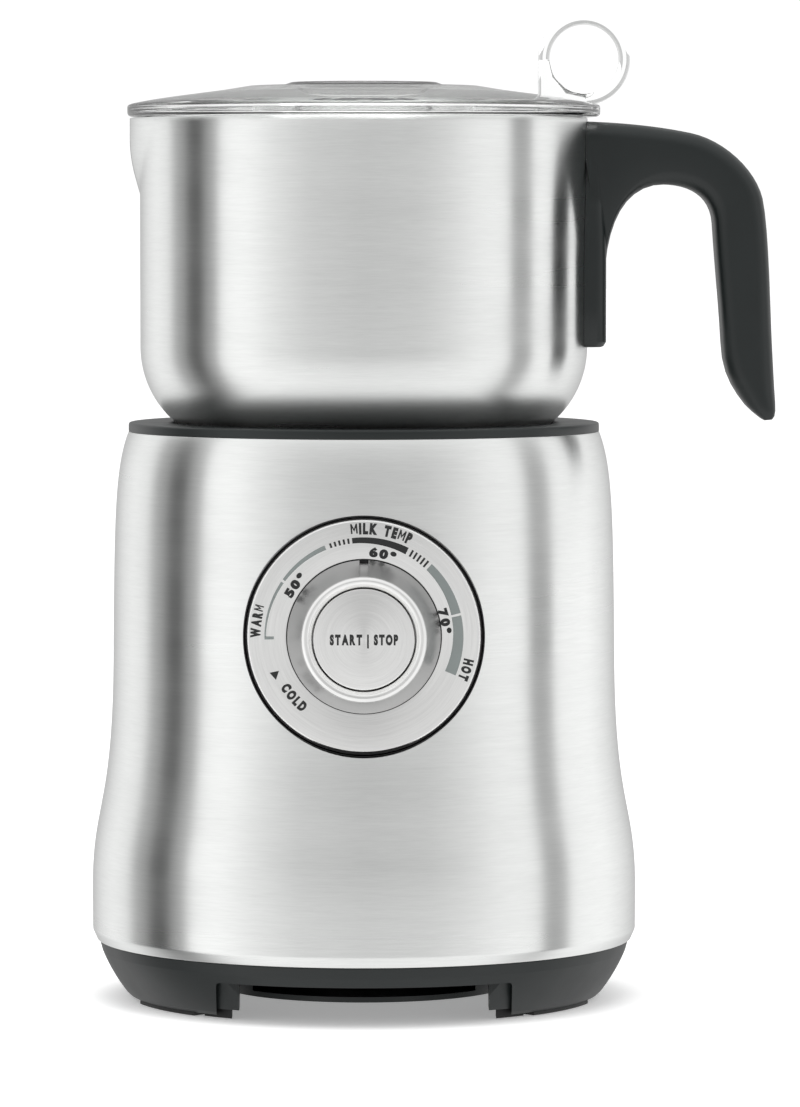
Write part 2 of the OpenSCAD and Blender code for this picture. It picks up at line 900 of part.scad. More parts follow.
module lid_shell() {
    skirt_r = 64.8;
    groove_r = 63.9;
    skirt_bottom_z = 258;
    color([0.85, 0.88, 0.88, 0.4])
    rotate_extrude($fn = 180)
        polygon(concat(
            [
                [cap_hole_r, 270.3], [33.6, 270.3], [43, 268.6], [61, 266.2], [62.7, 265.9],
                [62.7, skirt_bottom_z], [skirt_r, skirt_bottom_z], [skirt_r, 259.4],
                [groove_r, 259.4], [groove_r, 261.4], [skirt_r, 261.4], [skirt_r, lid_bottom_z]
            ],
            lid_top(),
            [[cap_hole_r, cap_seat_z]]
        ));
}

module finger_ring() {
    color([0.85, 0.88, 0.88, 0.4])
    difference() {
        upright_slice(ring_w)
            difference() {
                union() {
                    translate([ring_x, ring_z]) circle(r = ring_r);
                    translate([ring_x - ring_r, 264]) square([ring_r + 2, ring_z - 264]);
                }
                translate([ring_x, ring_z]) circle(r = ring_hole_r);
            }
        // The lid's own solid, so that the ring stands on its top face
        rotate_extrude($fn = 180) polygon(concat([[0, 250], [lid_r - 0.5, 250]], lid_top(), [[0, cap_seat_z]]));
    }
}

module lid_seal() {
    color([0.9, 0.9, 0.88, 0.6])
    rotate_extrude($fn = 180)
        polygon([[63.9, 259.45], [64.9, 259.45], [65.4, 260.1], [65.4, 260.7], [64.9, 261.35], [63.9, 261.35]]);
}

module measuring_cap() {
    flange_r = 24;
    flange_t = 1.1;
    color([0.85, 0.88, 0.88, 0.4])
    rotate_extrude()
        polygon([
            [0, 255], [17.8, 255], [18.6, 255.8], [cap_hole_r - 0.5, cap_seat_z],
            [flange_r, cap_seat_z], [flange_r, cap_seat_z + flange_t - 0.4],
            [flange_r - 0.4, cap_seat_z + flange_t], [cap_hole_r - 1.9, cap_seat_z + flange_t],
            [17.1, 256.5], [0, 256.5]
        ]);
}

// ---------------------------------------------------------------- one node at a time

housing_shell();
top_collar();
heating_plate();
base_skirt();
bottom_cover();
storage_tray();
foot_pads();
cover_screws();
inner_chassis();
coil_former();
induction_coil();
ferrite_bars();
motor_can();
stator_magnets();
motor_bearings();
motor_bracket();
bracket_screws();
power_board();
heat_sink();
capacitors();
transformer();
fan_frame();
control_board();
rotary_sensor();
tact_switch();
dial_housing();
dial_plate();
dial_bezel();
sensor_guide();
sensor_spring();
button_spring();
cord_gland();
jug_vessel();
jug_base_disc();
whisk_spindle();
handle_bracket();
handle_grip();
handle_screws();
disc_bush();
froth_disc();
whisk_ring();
disc_magnets();
lid_shell();
finger_ring();
lid_seal();
measuring_cap();
motor_shaft();
motor_armature();
magnet_carrier();
drive_magnets();
fan_impeller();
dial_knob();
dial_sleeve();
start_button();
sensor_cap();
spare_disc();
spare_magnets();
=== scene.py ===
"""Looks of an induction milk frother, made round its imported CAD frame.

Outlines are in millimetres, in the frame's own axes: +Z up, dial at -Y, handle at +X.
"""
import json
import math

import bpy
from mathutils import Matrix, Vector


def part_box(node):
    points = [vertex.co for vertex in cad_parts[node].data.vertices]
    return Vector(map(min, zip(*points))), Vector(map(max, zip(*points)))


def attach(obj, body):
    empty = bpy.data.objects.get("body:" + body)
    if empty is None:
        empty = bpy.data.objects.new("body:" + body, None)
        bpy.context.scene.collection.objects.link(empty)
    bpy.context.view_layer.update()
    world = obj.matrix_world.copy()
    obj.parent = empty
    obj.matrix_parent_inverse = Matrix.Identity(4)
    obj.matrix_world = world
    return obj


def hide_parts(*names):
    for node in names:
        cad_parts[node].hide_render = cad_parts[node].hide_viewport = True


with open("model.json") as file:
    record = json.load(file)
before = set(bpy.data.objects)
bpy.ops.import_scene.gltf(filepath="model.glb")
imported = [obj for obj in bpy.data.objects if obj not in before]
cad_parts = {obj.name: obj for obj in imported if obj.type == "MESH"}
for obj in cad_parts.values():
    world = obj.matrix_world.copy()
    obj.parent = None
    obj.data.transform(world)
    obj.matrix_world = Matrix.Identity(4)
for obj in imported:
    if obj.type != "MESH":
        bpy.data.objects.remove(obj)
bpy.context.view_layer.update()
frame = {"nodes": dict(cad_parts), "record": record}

MM = 0.001
ROUND = 192            # facets round a turned piece
WELD = 0.002 * MM      # corners closer than this are one
FONT_CAP = 0.73        # height of the font's capitals at size 1


def low(node):
    """Lowest corner of a CAD node, in millimetres."""
    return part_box(node)[0] / MM


def high(node):
    """Highest corner of a CAD node, in millimetres."""
    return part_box(node)[1] / MM


# ---------------------------------------------------------------- driving sizes

SHELL_TOP = high("housing_shell").z
SHELL_BOTTOM = low("housing_shell").z
SHELL_R = high("housing_shell").y
SHELL_TOP_R = high("top_collar").y
COLLAR_TOP = high("top_collar").z
JUG_R = high("jug_vessel").y
JUG_RIM = high("jug_vessel").z
JUG_FLOOR = high("jug_base_disc").z
LID_R = high("lid_shell").y
LID_LOW = 263.1
RING_R = (high("finger_ring").x - low("finger_ring").x) / 2
RING_X = (high("finger_ring").x + low("finger_ring").x) / 2
RING_Z = high("finger_ring").z - RING_R
PLATE_R = high("dial_plate").x
PLATE_Y = low("dial_plate").y
DIAL_Z = (high("dial_plate").z + low("dial_plate").z) / 2
KNOB_R = high("dial_knob").x
KNOB_OUT = PLATE_Y - low("dial_knob").y
BUTTON_R = high("start_button").x
BUTTON_OUT = PLATE_Y - low("start_button").y
SKIRT_TOP = high("base_skirt").z
SKIRT_LOW = low("base_skirt").z
SKIRT_R = high("base_skirt").y


# ---------------------------------------------------------------- outlines

def bow(p, q, r, s, steps=12):
    """Points along a cubic curve from p to s, steered by q and r."""
    points = []
    for i in range(steps + 1):
        t = i / steps
        u = 1 - t
        points.append(tuple(
            u ** 3 * a + 3 * u * u * t * b + 3 * u * t * t * c + t ** 3 * d
            for a, b, c, d in zip(p, q, r, s)
        ))
    return points


def arc(centre, radius, start, end, steps=16):
    """Points along an arc in the outline's plane, angles in degrees."""
    turns = [math.radians(start + (end - start) * i / steps) for i in range(steps + 1)]
    return [(centre[0] + radius * math.cos(t), centre[1] + radius * math.sin(t)) for t in turns]


def eased(points, steps=5, closed=False):
    """The outline with its marked corners rounded: a point is (x, y) or (x, y, radius)."""
    result = []
    count = len(points)
    for i, point in enumerate(points):
        here = Vector(point[:2])
        inner = closed or 0 < i < count - 1
        if len(point) < 3 or not inner:
            result.append(tuple(here))
            continue
        back = Vector(points[i - 1][:2]) - here
        on = Vector(points[(i + 1) % count][:2]) - here
        half = back.angle(on) / 2
        reach = min(point[2] / math.tan(half), back.length * 0.49, on.length * 0.49)
        a = here + back.normalized() * reach
        b = here + on.normalized() * reach
        for k in range(steps + 1):
            t = k / steps
            result.append(tuple(a * (1 - t) ** 2 + here * 2 * t * (1 - t) + b * t * t))
    return result


def looped(points):
    """A closed outline, with its first point again at the end."""
    return points + points[:1]


# ---------------------------------------------------------------- modelling by hand

def deselect():
    """Leaves edit mode and selects nothing."""
    if bpy.context.object and bpy.context.object.mode != "OBJECT":
        bpy.ops.object.mode_set(mode="OBJECT")
    bpy.ops.object.select_all(action="DESELECT")


def pick(piece):
    """Makes a piece the only selected one, and the active one."""
    deselect()
    piece.select_set(True)
    bpy.context.view_layer.objects.active = piece


def settle(name, smooth=30):
    """Names the active piece, brings its place into its mesh and smooths its shading."""
    if bpy.context.object.mode != "OBJECT":
        bpy.ops.object.mode_set(mode="OBJECT")
    piece = bpy.context.object
    piece.name = name
    piece.data.name = name
    pick(piece)
    bpy.ops.object.transform_apply(location=True, rotation=True, scale=True)
    bpy.ops.object.shade_smooth_by_angle(angle=math.radians(smooth))
    return piece


def pen(start):
    """A single corner at start, in edit mode, ready to be drawn along an outline."""
    deselect()
    bpy.ops.mesh.primitive_plane_add(size=MM, location=Vector(start) * MM)
    bpy.ops.object.mode_set(mode="EDIT")
    bpy.ops.mesh.select_all(action="SELECT")
    bpy.ops.mesh.merge(type="CENTER")


def draw(corners):
    """Draws on from the pen's corner through the other corners, and joins the ends if they meet."""
    for a, b in zip(corners, corners[1:]):
        step = (Vector(b) - Vector(a)) * MM
        bpy.ops.mesh.extrude_vertices_move(TRANSFORM_OT_translate={"value": step})
    bpy.ops.mesh.select_all(action="SELECT")
    bpy.ops.mesh.remove_doubles(threshold=WELD)


def turned(name, outline, steps=ROUND, smooth=30):
    """A solid of revolution about Z from (radius, height) points, pole to pole or a loop."""
    corners = [(r, 0, z) for r, z in outline]
    pen(corners[0])
    draw(corners)
    bpy.ops.mesh.select_all(action="SELECT")
    bpy.ops.mesh.spin(steps=steps, angle=math.tau, center=(0, 0, 0), axis=(0, 0, 1))
    bpy.ops.mesh.select_all(action="SELECT")
    bpy.ops.mesh.remove_doubles(threshold=WELD)
    bpy.ops.mesh.normals_make_consistent(inside=False)
    return settle(name, smooth)


def slab(name, outline, width, smooth=30):
    """An upright slab: a closed (x, z) outline, filled and extruded to width across Y."""
    corners = [(x, -width / 2, z) for x, z in looped(outline)]
    pen(corners[0])
    draw(corners)
    bpy.ops.mesh.edge_face_add()
    bpy.ops.mesh.extrude_region_move(TRANSFORM_OT_translate={"value": (0, width * MM, 0)})
    bpy.ops.mesh.select_all(action="SELECT")
    bpy.ops.mesh.normals_make_consistent(inside=False)
    return settle(name, smooth)


def loft(name, sections, smooth=40):
    """A closed form through sections, each the same number of points round a loop."""
    count = len(sections[0])
    deselect()
    bpy.ops.mesh.primitive_circle_add(vertices=count, radius=MM, fill_type="NGON")
    bpy.ops.object.mode_set(mode="OBJECT")
    mesh = bpy.context.object.data
    order = list(mesh.polygons[0].vertices)
    for index, point in zip(order, sections[0]):
        mesh.vertices[index].co = Vector(point) * MM
    for section in sections[1:]:
        bpy.ops.object.mode_set(mode="EDIT")
        bpy.ops.mesh.extrude_region_move(TRANSFORM_OT_translate={"value": (0, 0, 0)})
        bpy.ops.object.mode_set(mode="OBJECT")
        mesh = bpy.context.object.data
        cap = next(f for f in mesh.polygons if f.select)
        old = {i: mesh.vertices[i].co.copy() for i in order}
        fresh = []
        for i in order:
            fresh.append(min(cap.vertices, key=lambda v: (mesh.vertices[v].co - old[i]).length))
        order = fresh
        for index, point in zip(order, section):
            mesh.vertices[index].co = Vector(point) * MM
    bpy.ops.object.mode_set(mode="EDIT")
    bpy.ops.mesh.select_all(action="SELECT")
    bpy.ops.mesh.normals_make_consistent(inside=False)
    return settle(name, smooth)


def apply_modifier(piece, kind, **settings):
    """Adds a modifier with its settings and applies it."""
    pick(piece)
    modifier = piece.modifiers.new(kind.lower(), kind)
    for key, value in settings.items():
        setattr(modifier, key, value)
    bpy.ops.object.modifier_apply(modifier=modifier.name)


def combine(piece, tool, operation, smooth=30):
    """Joins a tool to the piece or cuts it away, and removes the tool."""
    apply_modifier(piece, "BOOLEAN", operation=operation, solver="EXACT", object=tool)
    bpy.data.objects.remove(tool)
    pick(piece)
    bpy.ops.object.shade_smooth_by_angle(angle=math.radians(smooth))
    return piece


def rounded(piece, width, segments=4, angle=40, smooth=40):
    """Bevels a piece's edges that are sharper than an angle."""
    apply_modifier(
        piece, "BEVEL", width=width * MM, segments=segments,
        limit_method="ANGLE", angle_limit=math.radians(angle), harden_normals=False,
    )
    pick(piece)
    bpy.ops.object.shade_smooth_by_angle(angle=math.radians(smooth))
    return piece


def planted(piece, place, tilt=0):
    """Tilts a piece about X by tilt degrees, moves it to its place and brings both into its mesh."""
    pick(piece)
    piece.rotation_euler = (math.radians(tilt), 0, 0)
    piece.location = Vector(place) * MM
    bpy.ops.object.transform_apply(location=True, rotation=True, scale=True)
    return piece


def onto_dial(piece):
    """Turns a piece made about Z to face -Y, on the dial's axis."""
    return planted(piece, (0, PLATE_Y, DIAL_Z), 90)


def block(name, low_corner, high_corner):
    """A plain cutting block between two corners, in millimetres."""
    deselect()
    a, b = Vector(low_corner), Vector(high_corner)
    bpy.ops.mesh.primitive_cube_add(size=1, location=(a + b) / 2 * MM)
    bpy.context.object.scale = (b - a) * MM
    return settle(name)


def fit(piece, body, slot, finish, *nodes):
    """Hands a finished piece its body, its finish and the CAD nodes that it stands for."""
    piece.data.materials.clear()
    piece.data.materials.append(finish)
    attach(piece, body)
    if nodes:
        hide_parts(*nodes)
    return piece


# ---------------------------------------------------------------- finishes

def new_group(name, inputs, outputs):
    """A shader node group with its sockets; returns it with its two end nodes."""
    group = bpy.data.node_groups.new(name, "ShaderNodeTree")
    for socket, kind, value in inputs:
        made = group.interface.new_socket(socket, in_out="INPUT", socket_type=kind)
        if value is not None:
            made.default_value = value
    for socket, kind in outputs:
        group.interface.new_socket(socket, in_out="OUTPUT", socket_type=kind)
    start = group.nodes.new("NodeGroupInput")
    end = group.nodes.new("NodeGroupOutput")
    return group, start, end


def math_node(tree, operation, a, b=None):
    """One sum; a and b may be numbers or sockets."""
    node = tree.nodes.new("ShaderNodeMath")
    node.operation = operation
    for socket, value in zip(node.inputs, (a, b)):
        if value is None:
            continue
        if isinstance(value, (int, float)):
            socket.default_value = value
        else:
            tree.links.new(value, socket)
    return node.outputs[0]


def noise(tree, vector, scale, detail=3.0, roughness=0.55):
    """A noise value at a scale."""
    node = tree.nodes.new("ShaderNodeTexNoise")
    node.inputs["Scale"].default_value = scale
    node.inputs["Detail"].default_value = detail
    node.inputs["Roughness"].default_value = roughness
    tree.links.new(vector, node.inputs["Vector"])
    return node.outputs["Fac"]


def ranged(tree, value, low_out, high_out, low_in=0.3, high_in=0.7):
    """Spreads a value over a range; the outputs may be numbers or sockets."""
    node = tree.nodes.new("ShaderNodeMapRange")
    tree.links.new(value, node.inputs["Value"])
    node.inputs["From Min"].default_value = low_in
    node.inputs["From Max"].default_value = high_in
    for name, out in (("To Min", low_out), ("To Max", high_out)):
        if isinstance(out, (int, float)):
            node.inputs[name].default_value = out
        else:
            tree.links.new(out, node.inputs[name])
    return node.outputs["Result"]


def brushing_group():
    """Fine lines: a shade near one, a height, and a slow unevenness of the polish."""
    group, start, end = new_group(
        "brushing",
        [("Vector", "NodeSocketVector", None), ("Depth", "NodeSocketFloat", 0.06)],
        [("Shade", "NodeSocketFloat"), ("Height", "NodeSocketFloat"), ("Polish", "NodeSocketFloat")],
    )
    along = start.outputs["Vector"]
    lines = noise(group, along, 1.0, detail=4.0, roughness=0.7)
    strands = noise(group, along, 0.31, detail=2.0, roughness=0.6)
    both = math_node(group, "ADD", math_node(group, "MULTIPLY", lines, 0.6),
                     math_node(group, "MULTIPLY", strands, 0.4))
    dark = math_node(group, "SUBTRACT", 1.0, start.outputs["Depth"])
    lit = math_node(group, "ADD", 1.0, start.outputs["Depth"])
    group.links.new(ranged(group, both, dark, lit), end.inputs["Shade"])
    group.links.new(both, end.inputs["Height"])
    group.links.new(noise(group, along, 0.02, detail=2.0), end.inputs["Polish"])
    return group


def grain_group():
    """Moulded grain for plastics and castings: a shade near one and a height."""
    group, start, end = new_group(
        "moulded_grain",
        [("Vector", "NodeSocketVector", None), ("Scale", "NodeSocketFloat", 2500.0),
         ("Depth", "NodeSocketFloat", 0.08)],
        [("Shade", "NodeSocketFloat"), ("Height", "NodeSocketFloat"), ("Dust", "NodeSocketFloat")],
    )
    fine = group.nodes.new("ShaderNodeTexNoise")
    fine.inputs["Detail"].default_value = 2.0
    group.links.new(start.outputs["Vector"], fine.inputs["Vector"])
    group.links.new(start.outputs["Scale"], fine.inputs["Scale"])
    broad = noise(group, start.outputs["Vector"], 45.0, detail=3.0)
    dark = math_node(group, "SUBTRACT", 1.0, start.outputs["Depth"])
    lit = math_node(group, "ADD", 1.0, start.outputs["Depth"])
    group.links.new(ranged(group, broad, dark, lit), end.inputs["Shade"])
    group.links.new(fine.outputs["Fac"], end.inputs["Height"])
    group.links.new(broad, end.inputs["Dust"])
    return group


BRUSHING = brushing_group()
GRAIN = grain_group()


def new_material(name, metallic=0.0, ior=1.5, coat=0.0):
    """A material with its tree, its shader and the piece's own coordinates."""
    material = bpy.data.materials.new(name)
    material.use_nodes = True
    tree = material.node_tree
    shader = next(n for n in tree.nodes if n.type == "BSDF_PRINCIPLED")
    shader.inputs["Metallic"].default_value = metallic
    shader.inputs["IOR"].default_value = ior
    shader.inputs["Coat Weight"].default_value = coat
    coords = tree.nodes.new("ShaderNodeTexCoord")
    return material, tree, shader, coords.outputs["Object"]


def stretched(tree, vector, scale, centre=(0, 0, 0)):
    """Object coordinates about a centre, stretched by a scale along each axis."""
    node = tree.nodes.new("ShaderNodeMapping")
    node.vector_type = "POINT"
    node.inputs["Location"].default_value = [-c * s for c, s in zip(centre, scale)]
    node.inputs["Scale"].default_value = scale
    tree.links.new(vector, node.inputs["Vector"])
    return node.outputs["Vector"]


def shaded(tree, shade, colour, socket):
    """Colour times a shade that varies over the surface."""
    mix = tree.nodes.new("ShaderNodeMix")
    mix.data_type = "RGBA"
    mix.blend_type = "MULTIPLY"
    mix.inputs["Factor"].default_value = 1.0
    mix.inputs["A"].default_value = (*colour, 1.0)
    tree.links.new(shade, mix.inputs["B"])
    tree.links.new(mix.outputs["Result"], socket)


def bumped(tree, height, distance, strength, shader):
    """Sends a height to the shader as a bump."""
    bump = tree.nodes.new("ShaderNodeBump")
    bump.inputs["Distance"].default_value = distance
    bump.inputs["Strength"].default_value = strength
    tree.links.new(height, bump.inputs["Height"])
    tree.links.new(bump.outputs["Normal"], shader.inputs["Normal"])


def brushed_metal(name, colour, vector_of, depth=0.05, rough=(0.26, 0.33), bump=0.3, bump_mm=0.01,
                  spread=0.0, round_y=False):
    """Brushed metal; vector_of makes the coordinates that the lines follow."""
    material, tree, shader, place = new_material(name, metallic=1.0)
    shader.inputs["Anisotropic"].default_value = spread
    shader.inputs["Anisotropic Rotation"].default_value = 0.0 if round_y else 0.25
    if round_y:
        turning = tree.nodes.new("ShaderNodeTangent")
        turning.direction_type = "RADIAL"
        turning.axis = "Y"
        tree.links.new(turning.outputs["Tangent"], shader.inputs["Tangent"])
    lines = tree.nodes.new("ShaderNodeGroup")
    lines.node_tree = BRUSHING
    lines.inputs["Depth"].default_value = depth
    tree.links.new(vector_of(tree, place), lines.inputs["Vector"])
    shaded(tree, lines.outputs["Shade"], colour, shader.inputs["Base Color"])
    tree.links.new(ranged(tree, lines.outputs["Polish"], *rough), shader.inputs["Roughness"])
    bumped(tree, lines.outputs["Height"], bump_mm * MM, bump, shader)
    return material


def level_lines(tree, place):
    """Short lines that run level round an upright piece."""
    return stretched(tree, place, (170, 170, 3000))


def circles(tree, place):
    """Fine circles about the dial's axis."""
    here = stretched(tree, place, (1, 1, 1), centre=(0, 0, DIAL_Z * MM))
    parts = tree.nodes.new("ShaderNodeSeparateXYZ")
    tree.links.new(here, parts.inputs[0])
    flat = tree.nodes.new("ShaderNodeCombineXYZ")
    tree.links.new(parts.outputs["X"], flat.inputs["X"])
    tree.links.new(parts.outputs["Z"], flat.inputs["Y"])
    length = tree.nodes.new("ShaderNodeVectorMath")
    length.operation = "LENGTH"
    tree.links.new(flat.outputs[0], length.inputs[0])
    spun = tree.nodes.new("ShaderNodeCombineXYZ")
    tree.links.new(math_node(tree, "MULTIPLY", parts.outputs["X"], 110.0), spun.inputs["X"])
    tree.links.new(math_node(tree, "MULTIPLY", parts.outputs["Z"], 110.0), spun.inputs["Y"])
    tree.links.new(math_node(tree, "MULTIPLY", length.outputs["Value"], 3400.0), spun.inputs["Z"])
    return spun.outputs[0]


def moulded(name, colour, rough=(0.35, 0.45), grain=2500.0, depth=0.06, bump=0.25, bump_mm=0.02,
            metallic=0.0, coat=0.0, ior=1.5):
    """Moulded, cast or painted stuff with a grain."""
    material, tree, shader, place = new_material(name, metallic=metallic, ior=ior, coat=coat)
    texture = tree.nodes.new("ShaderNodeGroup")
    texture.node_tree = GRAIN
    texture.inputs["Scale"].default_value = grain
    texture.inputs["Depth"].default_value = depth
    tree.links.new(place, texture.inputs["Vector"])
    shaded(tree, texture.outputs["Shade"], colour, shader.inputs["Base Color"])
    tree.links.new(ranged(tree, texture.outputs["Dust"], *rough), shader.inputs["Roughness"])
    bumped(tree, texture.outputs["Height"], bump_mm * MM, bump, shader)
    return material


def clear_moulding(name):
    """Clear plastic with the faint waviness of a moulding."""
    material, tree, shader, place = new_material(name, ior=1.49)
    shader.inputs["Base Color"].default_value = (0.99, 0.995, 0.99, 1.0)
    shader.inputs["Transmission Weight"].default_value = 1.0
    wave = noise(tree, place, 60.0, detail=1.0)
    tree.links.new(ranged(tree, wave, 0.0, 0.012), shader.inputs["Roughness"])
    bumped(tree, wave, 0.05 * MM, 0.12, shader)
    return material


SHELL_STEEL = brushed_metal("brushed_steel_shell", (0.80, 0.81, 0.80), level_lines, spread=0.9)
JUG_STEEL = brushed_metal("brushed_steel_jug", (0.80, 0.81, 0.80), level_lines, spread=0.9)
PLAIN_STEEL = moulded("plain_steel", (0.62, 0.62, 0.63), rough=(0.25, 0.35), metallic=1.0, bump=0.08)
SPUN = brushed_metal("spun_metal", (0.94, 0.94, 0.93), circles, depth=0.08, rough=(0.30, 0.36),
                     spread=0.9, round_y=True)
BLACK_SATIN = moulded("satin_black_plastic", (0.005, 0.0085, 0.0085), rough=(0.36, 0.44), bump=0.12)
BASE_PLASTIC = moulded("base_plastic", (0.006, 0.0095, 0.0095), rough=(0.42, 0.5), grain=1800.0)
GLOSS_BLACK = moulded("gloss_black", (0.006, 0.006, 0.007), rough=(0.08, 0.14), bump=0.04)
CLEAR = clear_moulding("clear_plastic")
SILICONE = moulded("silicone", (0.62, 0.64, 0.63), rough=(0.4, 0.55), bump=0.1)
RUBBER = moulded("black_rubber", (0.012, 0.012, 0.012), rough=(0.6, 0.75), grain=1500.0)
WHITE_PLASTIC = moulded("white_plastic", (0.74, 0.74, 0.70), rough=(0.4, 0.5))
DISC_PLASTIC = moulded("disc_plastic", (0.035, 0.037, 0.04), rough=(0.3, 0.42))
MAGNET = moulded("magnet", (0.58, 0.59, 0.6), rough=(0.15, 0.25), metallic=1.0, bump=0.08)
ZINC = moulded("zinc_screws", (0.5, 0.5, 0.52), rough=(0.25, 0.4), metallic=1.0)
CASTING = moulded("cast_aluminium", (0.6, 0.6, 0.61), rough=(0.35, 0.5), metallic=1.0, grain=900.0)
COPPER = moulded("copper_winding", (0.62, 0.27, 0.12), rough=(0.25, 0.4), metallic=1.0, coat=0.4)
FERRITE = moulded("ferrite", (0.06, 0.06, 0.065), rough=(0.5, 0.7), grain=1200.0)
BRONZE = moulded("sintered_bronze", (0.5, 0.33, 0.15), rough=(0.35, 0.5), metallic=1.0, grain=1600.0)
BOARD = moulded("circuit_board", (0.02, 0.13, 0.055), rough=(0.3, 0.4), grain=700.0)
SLEEVE_BLUE = moulded("component_blue", (0.02, 0.04, 0.17), rough=(0.25, 0.35))
TAPE_YELLOW = moulded("component_yellow", (0.58, 0.4, 0.07), rough=(0.4, 0.55))
PART_BLACK = moulded("component_black", (0.03, 0.03, 0.034), rough=(0.4, 0.5))
# the black of the print, also used for the painted shadow ring round the knob
PRINT_AND_SHADOW_BLACK = moulded("printed_and_shadow_black", (0.012, 0.013, 0.013), rough=(0.45, 0.55), bump=0.05)
PRINT_GREY = moulded("printed_grey", (0.21, 0.235, 0.23), rough=(0.45, 0.55), bump=0.05)

SLOT_FINISH = {
    "brushed_steel_shell": SHELL_STEEL, "brushed_steel_jug": JUG_STEEL, "spun_metal": SPUN,
    "satin_black_plastic": BLACK_SATIN, "base_plastic": BASE_PLASTIC, "gloss_black": GLOSS_BLACK,
    "clear_plastic": CLEAR, "silicone": SILICONE, "black_rubber": RUBBER,
    "white_plastic": WHITE_PLASTIC, "disc_plastic": DISC_PLASTIC, "magnet": MAGNET,
    "plain_steel": PLAIN_STEEL, "zinc_screws": ZINC, "cast_aluminium": CASTING,
    "copper_winding": COPPER, "ferrite": FERRITE, "sintered_bronze": BRONZE,
    "circuit_board": BOARD, "component_blue": SLEEVE_BLUE, "component_yellow": TAPE_YELLOW,
    "component_black": PART_BLACK,
}


def finish_cad_nodes():
    """Every CAD node gets the finish of its slot in the record."""
    for row in frame["record"]["subparts"]:
        node = frame["nodes"][row["node"]]
        node.data.materials.clear()
        node.data.materials.append(SLOT_FINISH[row["material_slot"]])


# ---------------------------------------------------------------- base

def shell_side(inset, steps=22):
    """The housing's side from its top edge to its foot, moved inwards by inset."""
    waist = 75.0
    upper = bow(
        (SHELL_TOP_R - inset, SHELL_TOP), (waist - 0.6 - inset, 159.2),
        (waist - 0.4 - inset, 144.1), (waist - inset, 107), steps,
    )
    lower = bow(
        (waist - inset, 107), (waist - inset, 55.6),
        (SHELL_R - inset, 59.2), (SHELL_R - inset, 33), steps,
    )
    return upper + lower[1:]


def housing():
    """The steel casing with the dial's hole; its smooth shading is kept across the cut."""
    wall = 1.0
    outer = shell_side(0.03)
    inner = shell_side(wall)
    outline = eased(
        [(*outer[0], 0.3)] + outer[1:]
        + [(SHELL_R - 0.1, 20.5, 2.0), (SHELL_R - 1.4, SHELL_BOTTOM, 0.3),
           (SHELL_R - 2.2, SHELL_BOTTOM, 0.2), (SHELL_R - 1.1, 20.5)]
        + inner[::-1],
        closed=True,
    )
    shell = turned("housing_shell_skin", looped(outline), steps=256)
    whole = shell.copy()
    whole.data = shell.data.copy()
    bpy.context.scene.collection.objects.link(whole)
    hole = turned("dial_hole", [(0, -30), (PLATE_R + 0.75, -30), (PLATE_R + 0.75, 30), (0, 30)], 128)
    combine(shell, onto_dial(hole), "DIFFERENCE")
    apply_modifier(
        shell, "DATA_TRANSFER", object=whole, use_loop_data=True,
        data_types_loops={"CUSTOM_NORMAL"}, loop_mapping="POLYINTERP_NEAREST",
    )
    bpy.data.objects.remove(whole)
    fit(shell, "base", "brushed_steel_shell", SHELL_STEEL, "housing_shell")


def collar():
    """The black collar, with the nest that the jug stands in."""
    ledge = low("top_collar").z
    seat = low("heating_plate").z
    nest_r = 57.7
    outline = eased([
        (nest_r, seat), (nest_r, COLLAR_TOP, 0.7), (SHELL_TOP_R, COLLAR_TOP, 0.8),
        (SHELL_TOP_R, SHELL_TOP, 0.3), (68.9, SHELL_TOP), (68.9, ledge), (54, ledge), (54, seat),
    ], closed=True)
    ring = turned("top_collar_ring", looped(outline))
    fit(ring, "base", "satin_black_plastic", BLACK_SATIN, "top_collar")


def skirt():
    """The foot's ring, with the arch in front, its two cheeks and the cord's hole."""
    side = bow((78.5, 14.2), (76.9, 10.2), (74.4, 5.8), (71.4, SKIRT_LOW + 1.0), 10)
    outline = eased(
        [(77, SKIRT_TOP), (SKIRT_R, SKIRT_TOP, 0.3), (*side[0], 1.2)] + side[1:-1]
        + [(*side[-1], 1.5), (70.3, SKIRT_LOW, 0.8), (68.6, SKIRT_LOW, 0.4), (72.2, 6), (75, 11.8),
           (75, SKIRT_TOP)],
        closed=True,
    )
    piece = turned("base_skirt_ring", looped(outline))
    top, half, corner = 11.5, 43.0, 1.2
    arch = slab("arch_cut", eased(
        [(-half, -2), (-half, top, corner), (half, top, corner), (half, -2)], closed=True), 72)
    combine(piece, planted(arch, (0, -84, 0)), "DIFFERENCE")
    gland = turned("gland_cut", [(0, 0), (5.0, 0), (5.0, 30), (0, 30)], 64)
    gland_z = (low("cord_gland").z + high("cord_gland").z) / 2
    combine(piece, planted(gland, (0, 60, gland_z), -90), "DIFFERENCE")
    for hand in (-1, 1):
        cheek = turned("cheek", [(0, 2.9), (70.6, 2.9), (72.8, 6), (75.6, 12), (0, 12)], ROUND)
        x = sorted((hand * 36.3, hand * 47))
        keep = block("cheek_block", (x[0], -64, 0), (x[1], -50, 20))
        combine(cheek, keep, "INTERSECT")
        combine(piece, cheek, "UNION")
    fit(piece, "base", "base_plastic", BASE_PLASTIC, "base_skirt")


# ---------------------------------------------------------------- dial

def bezel():
    """The thin black ring round the dial's face."""
    inner, outer = PLATE_R + 0.32, high("dial_bezel").x
    outline = eased([
        (inner, -14), (inner, 0.3, 0.1), (outer, 0.3, 0.2), (outer, -14),
    ], closed=True)
    ring = onto_dial(turned("bezel_ring", looped(outline)))
    fit(ring, "base", "gloss_black", GLOSS_BLACK, "dial_bezel")


